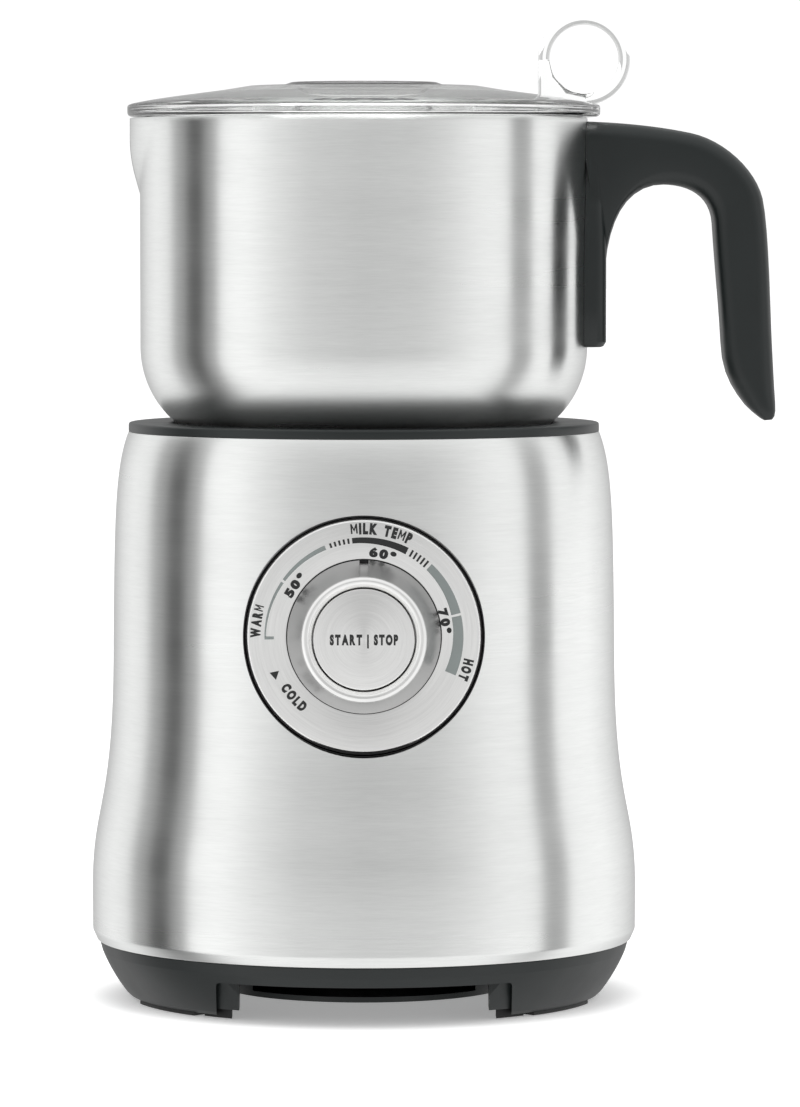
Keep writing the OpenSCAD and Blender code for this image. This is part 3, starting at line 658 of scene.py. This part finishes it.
def plate():
    """The dial's face, with the step that the knob's flange lies in."""
    outline = eased([
        (10.1, -1.2), (10.1, -0.6, 0.2), (KNOB_R + 0.3, -0.6), (KNOB_R + 0.3, 0, 0.1),
        (PLATE_R - 1.0, 0, 0.3), (PLATE_R, -0.6, 0.2), (PLATE_R, -1.2),
    ], closed=True)
    face = onto_dial(turned("dial_face_plate", looped(outline), smooth=20))
    fit(face, "base", "spun_metal", SPUN, "dial_plate")


def turned_metal_painted_shade(face_r):
    """The knob's metal: bright on its face, with painted shade that makes its sloping side darker."""
    material = brushed_metal("turned_metal_painted_shade", (0.90, 0.90, 0.89), circles, depth=0.14, rough=(0.36, 0.44),
                             spread=0.6, round_y=True)
    tree = material.node_tree
    shader = next(node for node in tree.nodes if node.type == "BSDF_PRINCIPLED")
    bright = shader.inputs["Base Color"].links[0].from_socket
    coords = tree.nodes.new("ShaderNodeTexCoord")
    here = stretched(tree, coords.outputs["Object"], (1, 0, 1), centre=(0, 0, DIAL_Z * MM))
    length = tree.nodes.new("ShaderNodeVectorMath")
    length.operation = "LENGTH"
    tree.links.new(here, length.inputs[0])
    # painted shade: past the face's radius the colour goes to a flat dark grey on the sloping side
    side = ranged(tree, length.outputs["Value"], 0.0, 1.0, face_r * MM, (face_r + 0.5) * MM)
    dark = blend(tree, side, bright, 0.44)
    tree.links.new(dark, shader.inputs["Base Color"])
    return material


def knob():
    """The knob: a flange, a sloping side, a bright front ring and a bore for the button."""
    front = 17.6
    flange = 1.4
    bore = BUTTON_R + 0.4
    outline = eased([
        (9.6, 0.4), (KNOB_R, 0.4, 0.3), (KNOB_R, flange, 0.5), (front + 0.3, KNOB_OUT - 0.5, 0.5),
        (front - 0.6, KNOB_OUT, 0.8), (front - 1.6, KNOB_OUT - 0.15, 1.0), (bore, KNOB_OUT - 1.5, 0.3),
        (bore, 2.6), (9.6, 2.6),
    ], closed=True)
    piece = turned("dial_knob_cap", looped(outline), smooth=35)
    lean = math.degrees(math.atan2(KNOB_R - front, KNOB_OUT - flange))
    groove = block("pointer_cut", (-1.3, -1.3, -7.5), (1.3, 4, 5.9))
    planted(groove, (0, (KNOB_R + front) / 2 + 0.2, (KNOB_OUT + flange) / 2), lean)
    combine(piece, groove, "DIFFERENCE", smooth=35)
    # the knob's finish paints shade on its sloping side
    fit(onto_dial(piece), "dial", "spun_metal", turned_metal_painted_shade(front + 0.1), "dial_knob")


def button():
    """The start button, with its stem."""
    r, face = BUTTON_R, BUTTON_OUT
    outline = eased([
        (0, -18), (3.2, -18), (3.2, 9.4), (r - 1.6, 9.4), (r - 1.6, 5), (r, 5),
        (r, face, 0.45), (0, face),
    ])
    cap = onto_dial(turned("start_button_cap", outline, smooth=25))
    fit(cap, "button", "spun_metal", SPUN, "start_button")


# ---------------------------------------------------------------- printed marks on the dial, and a painted shadow round the knob

def mark_strip(name, start, end, outer_r, depth):
    """A flat band round the dial between two clock angles; depth(angle) is its width."""
    deselect()
    steps = max(1, int(abs(end - start) / 1.5))
    bpy.ops.mesh.primitive_grid_add(x_subdivisions=steps, y_subdivisions=1, size=2)
    piece = bpy.context.object
    for v in piece.data.vertices:
        angle = start + (end - start) * (v.co.x + 1) / 2
        r = outer_r - depth(angle) * (1 - v.co.y) / 2
        t = math.radians(angle)
        v.co = Vector((r * math.sin(t), r * math.cos(t), 0)) * MM
    return settle(name)


def thicken(piece, thickness=0.04):
    """Gives a flat mark the thickness of its print."""
    apply_modifier(piece, "SOLIDIFY", thickness=thickness * MM, offset=1.0)
    return piece


def letter_m(height, narrow):
    """A bold M, drawn as an outline: the font's own M closes up when it is thickened."""
    half, leg, dip = 0.5 * narrow * height, 0.22 * narrow * height, 0.30 * height
    right = [(half, 0), (half, height), (half - leg * 0.9, height), (0, dip + leg * 1.2)]
    left = [(-x, y) for x, y in right[2::-1]]
    under = [(-half + leg, 0), (-half + leg, height * 0.60), (0, dip - leg * 0.7),
             (half - leg, height * 0.60), (half - leg, 0)]
    corners = [(x, y, 0) for x, y in right + left + under]
    pen(corners[0])
    draw(corners + corners[:1])
    bpy.ops.mesh.edge_face_add()
    bpy.ops.mesh.extrude_region_move(TRANSFORM_OT_translate={"value": (0, 0, 0.03 * MM)})
    bpy.ops.mesh.select_all(action="SELECT")
    bpy.ops.mesh.normals_make_consistent(inside=False)
    return settle("letter_m"), 2 * half


def letter(sign, height, narrow, bold):
    """One character as a thin mesh: standing on y = 0, centred on x = 0."""
    if sign == "M":
        return letter_m(height, narrow)
    deselect()
    bpy.ops.object.text_add()
    text = bpy.context.object
    text.data.body = sign
    text.data.offset = bold
    text.data.extrude = 0.005
    text.data.resolution_u = 4
    bpy.ops.object.convert(target="MESH")
    piece = bpy.context.object
    size = height * MM / FONT_CAP
    xs = [v.co.x for v in piece.data.vertices]
    middle = (min(xs) + max(xs)) / 2
    for v in piece.data.vertices:
        v.co.x = (v.co.x - middle) * narrow * size
        v.co.y *= size
        v.co.z *= size
    return piece, (max(xs) - min(xs)) * narrow * size / MM


def letters(text, height, narrow, bold, space):
    """The pieces and widths of a text's characters; a space is a width with no piece."""
    return [
        (None, height * space) if sign == " " else letter(sign, height, narrow, bold)
        for sign in text
    ]


def word(text, height, radius, angle, narrow=0.72, bold=0.08, gap=0.45, inward=False):
    """Letters set round the dial, centred on a clock angle; inward turns their heads inwards."""
    signs = letters(text, height, narrow, bold, 0.35)
    total = sum(width for _, width in signs) + gap * (len(signs) - 1)
    along = -total / 2
    made = []
    for piece, width in signs:
        along += width / 2
        if piece is not None:
            swing = math.degrees(along / radius)
            clock = math.radians(angle - swing if inward else angle + swing)
            base_r = radius + height / 2 if inward else radius - height / 2
            piece.location = Vector((base_r * math.sin(clock), base_r * math.cos(clock), 0.02)) * MM
            piece.rotation_euler = (0, 0, -clock + (math.pi if inward else 0))
            made.append(piece)
        along += width / 2 + gap
    return made


def line_of(text, height, narrow, bold, gap):
    """Letters in a straight line, centred on the dial's axis."""
    signs = letters(text, height, narrow, bold, 0.3)
    along = -(sum(width for _, width in signs) + gap * (len(signs) - 1)) / 2
    made = []
    for piece, width in signs:
        if piece is not None:
            piece.location = Vector((along + width / 2, -height / 2, 0.02)) * MM
            made.append(piece)
        along += width + gap
    return made


def arrow(radius, angle, size):
    """A small triangle that points up, at a clock angle."""
    deselect()
    clock = math.radians(angle)
    place = Vector((radius * math.sin(clock), radius * math.cos(clock), 0)) * MM
    bpy.ops.mesh.primitive_circle_add(vertices=3, radius=size * MM, fill_type="NGON", location=place)
    bpy.context.object.rotation_euler = (0, 0, math.radians(192))
    return thicken(settle("arrow"))


def joined(name, pieces):
    """One piece made of several."""
    deselect()
    for piece in pieces:
        piece.select_set(True)
    bpy.context.view_layer.objects.active = pieces[0]
    bpy.ops.object.join()
    return settle(name)


def raise_to(piece, out):
    """Moves a mark out along the dial's axis, in the dial's own frame."""
    for v in piece.data.vertices:
        v.co.z += out * MM
    return piece


def knob_gap():
    """A black ring in the gap between the knob and the plate: painted shadow, a dark piece where the
    gap's shade falls.
    """
    return turned("knob_gap", looped([
        (KNOB_R - 1.0, -0.58), (KNOB_R + 0.3, -0.58), (KNOB_R + 0.3, 0.02), (KNOB_R + 0.08, 0.02),
        (KNOB_R + 0.08, -0.4), (KNOB_R - 1.0, -0.4),
    ]))


def marks():
    """The scale, drawn for a plate of 35.7 mm radius and brought to the real one; the black print also
    takes the painted shadow ring round the knob.
    """
    scale = PLATE_R / 35.7
    outer = 29.9 * scale
    cold_end, hot_end = -90, 113

    def depth(angle):
        """The scale's band grows from its cold end to its hot end."""
        return 0.4 + 2.9 * (angle - cold_end) / (hot_end - cold_end)

    grey = [
        mark_strip("grey", a, b, outer, depth)
        for a, b in ((cold_end, -56.3), (-54.7, -23.4), (43, 76.2), (77.6, hot_end))
    ]
    grey.append(mark_strip("grey", -91.6, -89.8, outer, lambda a: 2.7))
    black = [mark_strip("black", -7, 26.7, outer, depth)]
    for first in (-20.6, 29.0):
        for i in range(5):
            a = first + i * 2.7
            black.append(mark_strip("black", a, a + 1.2, outer, depth))
    grey = [thicken(p) for p in grey]
    black = [thicken(p) for p in black]
    for text, height, radius, angle, narrow in (
        ("MILK TEMP", 3.0, 32.6, 9.5, 0.68), ("WARM", 2.7, 32.7, -81.8, 0.62),
        ("HOT", 2.7, 32.4, 108, 0.64), ("50°", 2.5, 26.0, -53.3, 1.3),
        ("60°", 2.5, 25.6, 12.7, 1.3), ("70°", 2.5, 24.9, 79, 1.15),
    ):
        black += word(text, height * scale, radius * scale, angle, narrow)
    black += word("COLD", 2.7 * scale, 27.9 * scale, -131, 0.72, inward=True)
    black.append(arrow(29.1 * scale, -113, 1.6))
    # painted shadow: a black ring round the knob's foot, joined into the black print
    black.append(knob_gap())
    print_grey = onto_dial(raise_to(joined("dial_scale_grey", grey), 0.01))
    print_and_shadow_black = onto_dial(raise_to(joined("dial_scale_and_knob_shadow", black), 0.01))
    fit(print_grey, "base", "satin_black_plastic", PRINT_GREY)
    fit(print_and_shadow_black, "base", "satin_black_plastic", PRINT_AND_SHADOW_BLACK)
    words = joined("button_words", line_of("START | STOP", 2.75, 0.60, 0.07, 0.3))
    words = onto_dial(raise_to(words, BUTTON_OUT + 0.01))
    fit(words, "button", "satin_black_plastic", PRINT_AND_SHADOW_BLACK)


# ---------------------------------------------------------------- jug

def jug():
    """The steel jug with its rolled lip; the spout is drawn out of its side."""
    wall = 1.0
    corner_r = 29.4
    corner_z = 194.5
    centre = (JUG_R - corner_r, corner_z)
    spout_low, spout_full = 240.0, 256.0
    foot = math.degrees(math.asin((JUG_FLOOR - corner_z) / corner_r))
    inner_r = corner_r - wall
    inner_foot = math.degrees(math.asin((JUG_FLOOR + wall - corner_z) / inner_r))
    rings = [corner_z + 8 * i for i in range(1, 6)] + [spout_low - 3 + 1.6 * i for i in range(16)]
    outer = [(0, JUG_FLOOR), (30, JUG_FLOOR)] + arc(centre, corner_r, foot, 0, 24)
    outer += [(JUG_R, z) for z in rings]
    lip = [(JUG_R, JUG_RIM - 0.35), (JUG_R - 0.15, JUG_RIM - 0.08), (JUG_R - 0.5, JUG_RIM),
           (JUG_R - 0.85, JUG_RIM - 0.08), (JUG_R - wall, JUG_RIM - 0.35)]
    inner = [(JUG_R - wall, z) for z in rings[::-1]]
    inner += arc(centre, inner_r, 0, inner_foot, 24) + [(30, JUG_FLOOR + wall), (0, JUG_FLOOR + wall)]
    vessel = turned("jug_vessel_steel", outer + lip + inner, steps=256)
    reach = -low("jug_vessel").x - JUG_R
    for v in vessel.data.vertices:
        x, y, z = v.co / MM
        if z < spout_low or x > 0:
            continue
        rise = (z - spout_low) / (JUG_RIM - spout_low)
        half = 24.5 * rise ** 0.75
        angle = abs(math.degrees(math.atan2(y, -x)))
        if angle >= half:
            continue
        full = min(1.0, (z - spout_low) / (spout_full - spout_low))
        bulge = reach * math.sin(full * math.pi / 2) * (1 - angle / half) ** 1.35
        r = math.hypot(x, y)
        v.co.x *= 1 + bulge / r
        v.co.y *= 1 + bulge / r
    pick(vessel)
    bpy.ops.object.shade_smooth_by_angle(angle=math.radians(40))
    fit(vessel, "jug", "brushed_steel_jug", JUG_STEEL, "jug_vessel")


def rounded_box(centre, half_a, half_b, corner, steps=5):
    """Points of a rounded rectangle, as (a, b) pairs, the same number for any size."""
    points = []
    for qa, qb, start in ((1, 1, 0), (-1, 1, 90), (-1, -1, 180), (1, -1, 270)):
        middle = (centre[0] + qa * (half_a - corner), centre[1] + qb * (half_b - corner))
        points += arc(middle, corner, start, start + 90, steps)
    return points


def handle():
    """The arm is lofted between its outer and inner lines, and joined to the mount."""
    shoulder, elbow, back, heel = (97.3, 258.2), (118.7, 238.7), (121.4, 200), (122.6, 178)
    crown, crook = (89.6, 242.9), (104.2, 231.4)
    outer = bow((64.0, 261.7), (76.5, 261.4), (88, 260.2), shoulder, 10)
    outer += bow(shoulder, (107, 256.2), (116.6, 247.5), elbow, 12)[1:]
    outer += bow(elbow, (120.2, 232), (120.8, 216), back, 6)[1:]
    outer += bow(back, (121.7, 193), (122.2, 185), heel, 5)[1:]
    inner = bow((71.7, 214), (71.9, 231), (77.6, 243.2), crown, 10)
    inner += bow(crown, (97.5, 242.8), (103.6, 239.5), crook, 12)[1:]
    inner += bow(crook, (104.9, 220), (106.4, 206), (106.9, 196), 6)[1:]
    inner += bow((106.9, 196), (107.2, 187), (110.2, 182), (114.4, 176.9), 5)[1:]
    pairs = list(zip(outer, inner))
    pairs += [((122.6, 175.6), (116.4, 175.0)), ((122.3, 174.0), (118.0, 173.7)),
              ((121.6, 173.0), (119.2, 172.8))]
    arm_half = 11.0
    sections = []
    for i, (o, n) in enumerate(pairs):
        o, n = Vector(o), Vector(n)
        middle, half = (o + n) / 2, (o - n) / 2
        ending = max(0, i - len(pairs) + 4) / 4
        corner = min(4.6, half.length * 0.9)
        ring = []
        for a, b in rounded_box((0, 0), half.length, arm_half - 2.6 * ending ** 2, corner):
            point = middle + half.normalized() * a
            ring.append((point.x, b, point.y))
        sections.append(ring)
    arm = loft("handle_arm", sections)
    bottom, front = 194.6, 72.0
    wide, root_x = high("handle_grip").y, 58.0
    levels = [
        (bottom, wide - 1.6, 1.6), (bottom + 0.3, wide - 0.8, 0.8), (bottom + 1.6, wide, 0),
        (bottom + 12, wide, 0), (bottom + 26, wide, 0), (bottom + 34, wide - 0.7, 0.1),
        (bottom + 42, wide - 2.2, 0.3), (bottom + 50, 10.2, 0.6), (bottom + 58, 9.0, 1.2),
    ]
    body = []
    for z, half, back_in in levels:
        reach = front - back_in
        ring = rounded_box(((reach + root_x) / 2, 0), (reach - root_x) / 2, half, 3.2)
        body.append([(x, y, z) for x, y in ring])
    mount = loft("handle_body", body)
    combine(mount, arm, "UNION", 35)
    wall = turned("jug_room", [(0, 180), (JUG_R + 0.06, 180), (JUG_R + 0.06, 280), (0, 280)], 256)
    combine(mount, wall, "DIFFERENCE", 35)
    fit(mount, "jug", "satin_black_plastic", BLACK_SATIN, "handle_grip", "handle_bracket")


# ---------------------------------------------------------------- lid

def lid():
    """The clear lid: a shallow dome with a plug and a groove for the seal, and its finger ring."""
    skirt_low = low("lid_shell").z
    seat = high("lid_shell").z
    hole = 21.6
    dome = bow((LID_R - 1.2, 266.9), (62, 268.6), (50, 269.9), (42, 271.0), 10)
    outline = eased(
        [(hole, 270.3, 0.3), (33.6, 270.3, 3.0), (43, 268.7), (61, 266.3), (62.7, 265.6, 1.0),
         (62.7, skirt_low, 0.6), (64.8, skirt_low, 0.6), (64.8, 259.4, 0.2), (63.9, 259.4, 0.2),
         (63.9, 261.4, 0.2), (64.8, 261.4, 0.2), (64.8, LID_LOW, 0.6),
         (LID_R, LID_LOW, 1.4), (LID_R, 266.4, 1.6)]
        + dome + [(34, seat, 4.0), (hole, seat, 0.3)],
        closed=True,
    )
    body = turned("lid_moulding", looped(outline), steps=ROUND)
    wide, hole_r = high("finger_ring").y, 10.3
    hoop = turned("finger_hoop", looped(eased([
        (hole_r, -wide, 1.7), (RING_R, -wide, 1.7), (RING_R, wide, 1.7), (hole_r, wide, 1.7),
    ], closed=True)), steps=96)
    stand = slab("ring_foot", eased([
        (RING_X - RING_R, 264.6), (RING_X - RING_R, RING_Z), (RING_X - 10.6, RING_Z),
        (RING_X - 9.2, RING_Z - 5.2), (RING_X - 5, RING_Z - 9.4), (RING_X + 0.5, RING_Z - 10.6),
        (RING_X + 2.4, 264.6),
    ], closed=True), wide * 2)
    rounded(stand, 0.8, 3, 55)
    planted(hoop, (RING_X, 0, RING_Z), 90)
    combine(hoop, stand, "UNION")
    combine(body, hoop, "UNION", 35)
    fit(body, "lid", "clear_plastic", CLEAR, "lid_shell", "finger_ring")


def lid_seal():
    """The soft ring in the lid's groove."""
    outline = eased([
        (63.95, 259.5, 0.2), (65.0, 259.5, 0.3), (65.4, 260.4, 0.4), (65.0, 261.3, 0.3),
        (63.95, 261.3, 0.2),
    ], closed=True)
    fit(turned("lid_seal_ring", looped(outline)), "lid", "silicone", SILICONE, "lid_seal")


def measuring_cap():
    """The clear cup that closes the lid's middle hole."""
    seat = low("measuring_cap").z
    top = high("measuring_cap").z
    outline = eased([
        (0, seat), (18.2, seat, 0.8), (21.1, 272.3, 0.2), (24, 272.3, 0.1), (23.9, 272.55, 0.1),
        (21.6, top, 1.2), (19.7, top, 0.4), (17.1, seat + 1.5, 0.6), (0, seat + 1.5),
    ])
    fit(turned("measuring_cap_cup", outline, smooth=30), "cap", "clear_plastic", CLEAR, "measuring_cap")


# ---------------------------------------------------------------- studio

def surround(tree, turn, levels):
    """Grey levels round the horizon, from (angle from the front, level) pairs."""
    ramp = tree.nodes.new("ShaderNodeValToRGB")
    tree.links.new(ranged(tree, turn, 0.0, 1.0, -math.pi, math.pi), ramp.inputs["Fac"])
    stops = ramp.color_ramp.elements
    while len(stops) > 1:
        stops.remove(stops[0])
    for i, (angle, level) in enumerate(levels):
        stop = stops[0] if i == 0 else stops.new((angle + 180) / 360)
        stop.position = (angle + 180) / 360
        stop.color = (level, level, level, 1)
    return ramp.outputs["Color"]


def blend(tree, share, a, b):
    """A colour between a and b, which may be grey levels or sockets."""
    mix = tree.nodes.new("ShaderNodeMix")
    mix.data_type = "RGBA"
    tree.links.new(share, mix.inputs["Factor"])
    for name, value in (("A", a), ("B", b)):
        if isinstance(value, (int, float)):
            mix.inputs[name].default_value = (value, value, value, 1)
        else:
            tree.links.new(value, mix.inputs[name])
    return mix.outputs["Result"]


def tent():
    """A soft tent: white to the camera, grey levels by direction to everything else.

    Angles run round the horizon from the front, towards +X. The dark and grey bands are what the
    steel's streaks reflect. Light that comes through clear plastic nearly unbent sees plain white.
    """
    unbent = 0.99
    world = bpy.data.worlds.new("studio")
    bpy.context.scene.world = world
    world.use_nodes = True
    tree = world.node_tree
    tree.nodes.clear()
    out = tree.nodes.new("ShaderNodeOutputWorld")
    coords = tree.nodes.new("ShaderNodeTexCoord")
    parts = tree.nodes.new("ShaderNodeSeparateXYZ")
    tree.links.new(coords.outputs["Generated"], parts.inputs[0])
    front = math_node(tree, "MULTIPLY", parts.outputs["Y"], -1.0)
    turn = math_node(tree, "ARCTAN2", parts.outputs["X"], front)
    dark_band = [
        (-160, 0.62), (-146, 0.90), (-134, 1.05), (-120, 0.95), (-113, 0.40), (-105, 0.34), (-102, 0.07),
        (-92, 0.07), (-89, 0.42), (-82, 0.46), (-79, 1.25),
    ]
    grey_band = [
        (80, 1.15), (83, 0.42), (95, 0.38), (98, 1.10), (124, 1.15), (140, 0.95), (160, 0.62),
    ]
    level = surround(
        tree, turn, [(-180, 0.50)] + dark_band
        + [(-62, 1.18), (-46, 0.86), (-28, 0.58), (0, 0.46), (28, 0.53), (44, 0.72), (60, 1.0)]
        + grey_band + [(180, 0.50)],
    )
    under = surround(
        tree, turn, [(-180, 0.60)] + dark_band
        + [(-55, 1.18), (-28, 1.10), (0, 1.06), (28, 1.08), (50, 1.12)]
        + grey_band + [(180, 0.60)],
    )
    around = blend(tree, ranged(tree, parts.outputs["Z"], 1.0, 0.0, -0.30, -0.06), level, under)
    whole = blend(tree, ranged(tree, parts.outputs["Z"], 0.0, 1.0, 0.34, 0.70), around, 1.05)
    lit = tree.nodes.new("ShaderNodeBackground")
    tree.links.new(whole, lit.inputs["Color"])
    plain = tree.nodes.new("ShaderNodeBackground")
    plain.inputs["Color"].default_value = (1.0, 1.0, 1.0, 1)
    plain.inputs["Strength"].default_value = 1.05
    path = tree.nodes.new("ShaderNodeLightPath")
    behind = math_node(tree, "GREATER_THAN", parts.outputs["Y"], unbent)
    straight = math_node(tree, "MULTIPLY", path.outputs["Is Transmission Ray"], behind)
    choose = tree.nodes.new("ShaderNodeMixShader")
    seen = math_node(tree, "MAXIMUM", path.outputs["Is Camera Ray"], straight)
    tree.links.new(seen, choose.inputs["Fac"])
    tree.links.new(lit.outputs[0], choose.inputs[1])
    tree.links.new(plain.outputs[0], choose.inputs[2])
    tree.links.new(choose.outputs[0], out.inputs["Surface"])


def studio():
    """The tent, a pale floor and one soft lamp overhead."""
    scene = bpy.context.scene
    scene.view_settings.view_transform = "Standard"
    scene.view_settings.look = "None"
    tent()

    deselect()
    bpy.ops.mesh.primitive_plane_add(size=30, location=(0, 0, -0.0002))
    floor = bpy.context.object
    floor.name = "floor"
    paint, _, shader, _ = new_material("pale_floor")
    shader.inputs["Base Color"].default_value = (0.93, 0.93, 0.93, 1)
    shader.inputs["Roughness"].default_value = 0.6
    shader.inputs["Specular IOR Level"].default_value = 0.1
    shader.inputs["Emission Color"].default_value = (1, 1, 1, 1)
    shader.inputs["Emission Strength"].default_value = 0.30
    floor.data.materials.append(paint)
    floor.visible_glossy = False

    deselect()
    bpy.ops.object.light_add(type="AREA", location=(-0.1, -0.3, 1.8))
    lamp = bpy.context.object
    lamp.data.shape = "RECTANGLE"
    lamp.data.size = 1.4
    lamp.data.size_y = 1.0
    lamp.data.energy = 15
    lamp.visible_glossy = False
    lamp.rotation_euler = (Vector((0, 0, 0.1)) - lamp.location).to_track_quat("-Z", "Y").to_euler()


def camera():
    """The camera, level with the jug and far enough away for a flat view."""
    deselect()
    bpy.ops.object.camera_add(location=(0, -1.85, 0.238))
    eye = bpy.context.object
    eye.data.sensor_width = 36
    eye.data.lens = 201.2
    eye.data.clip_end = 100
    target = Vector((0.0108, 0, 0.1326))
    eye.rotation_euler = (target - eye.location).to_track_quat("-Z", "Y").to_euler()
    bpy.context.scene.camera = eye


# ---------------------------------------------------------------- making

camera()
studio()
finish_cad_nodes()
housing()
collar()
skirt()
bezel()
plate()
knob()
button()
marks()
jug()
handle()
lid()
lid_seal()
measuring_cap()
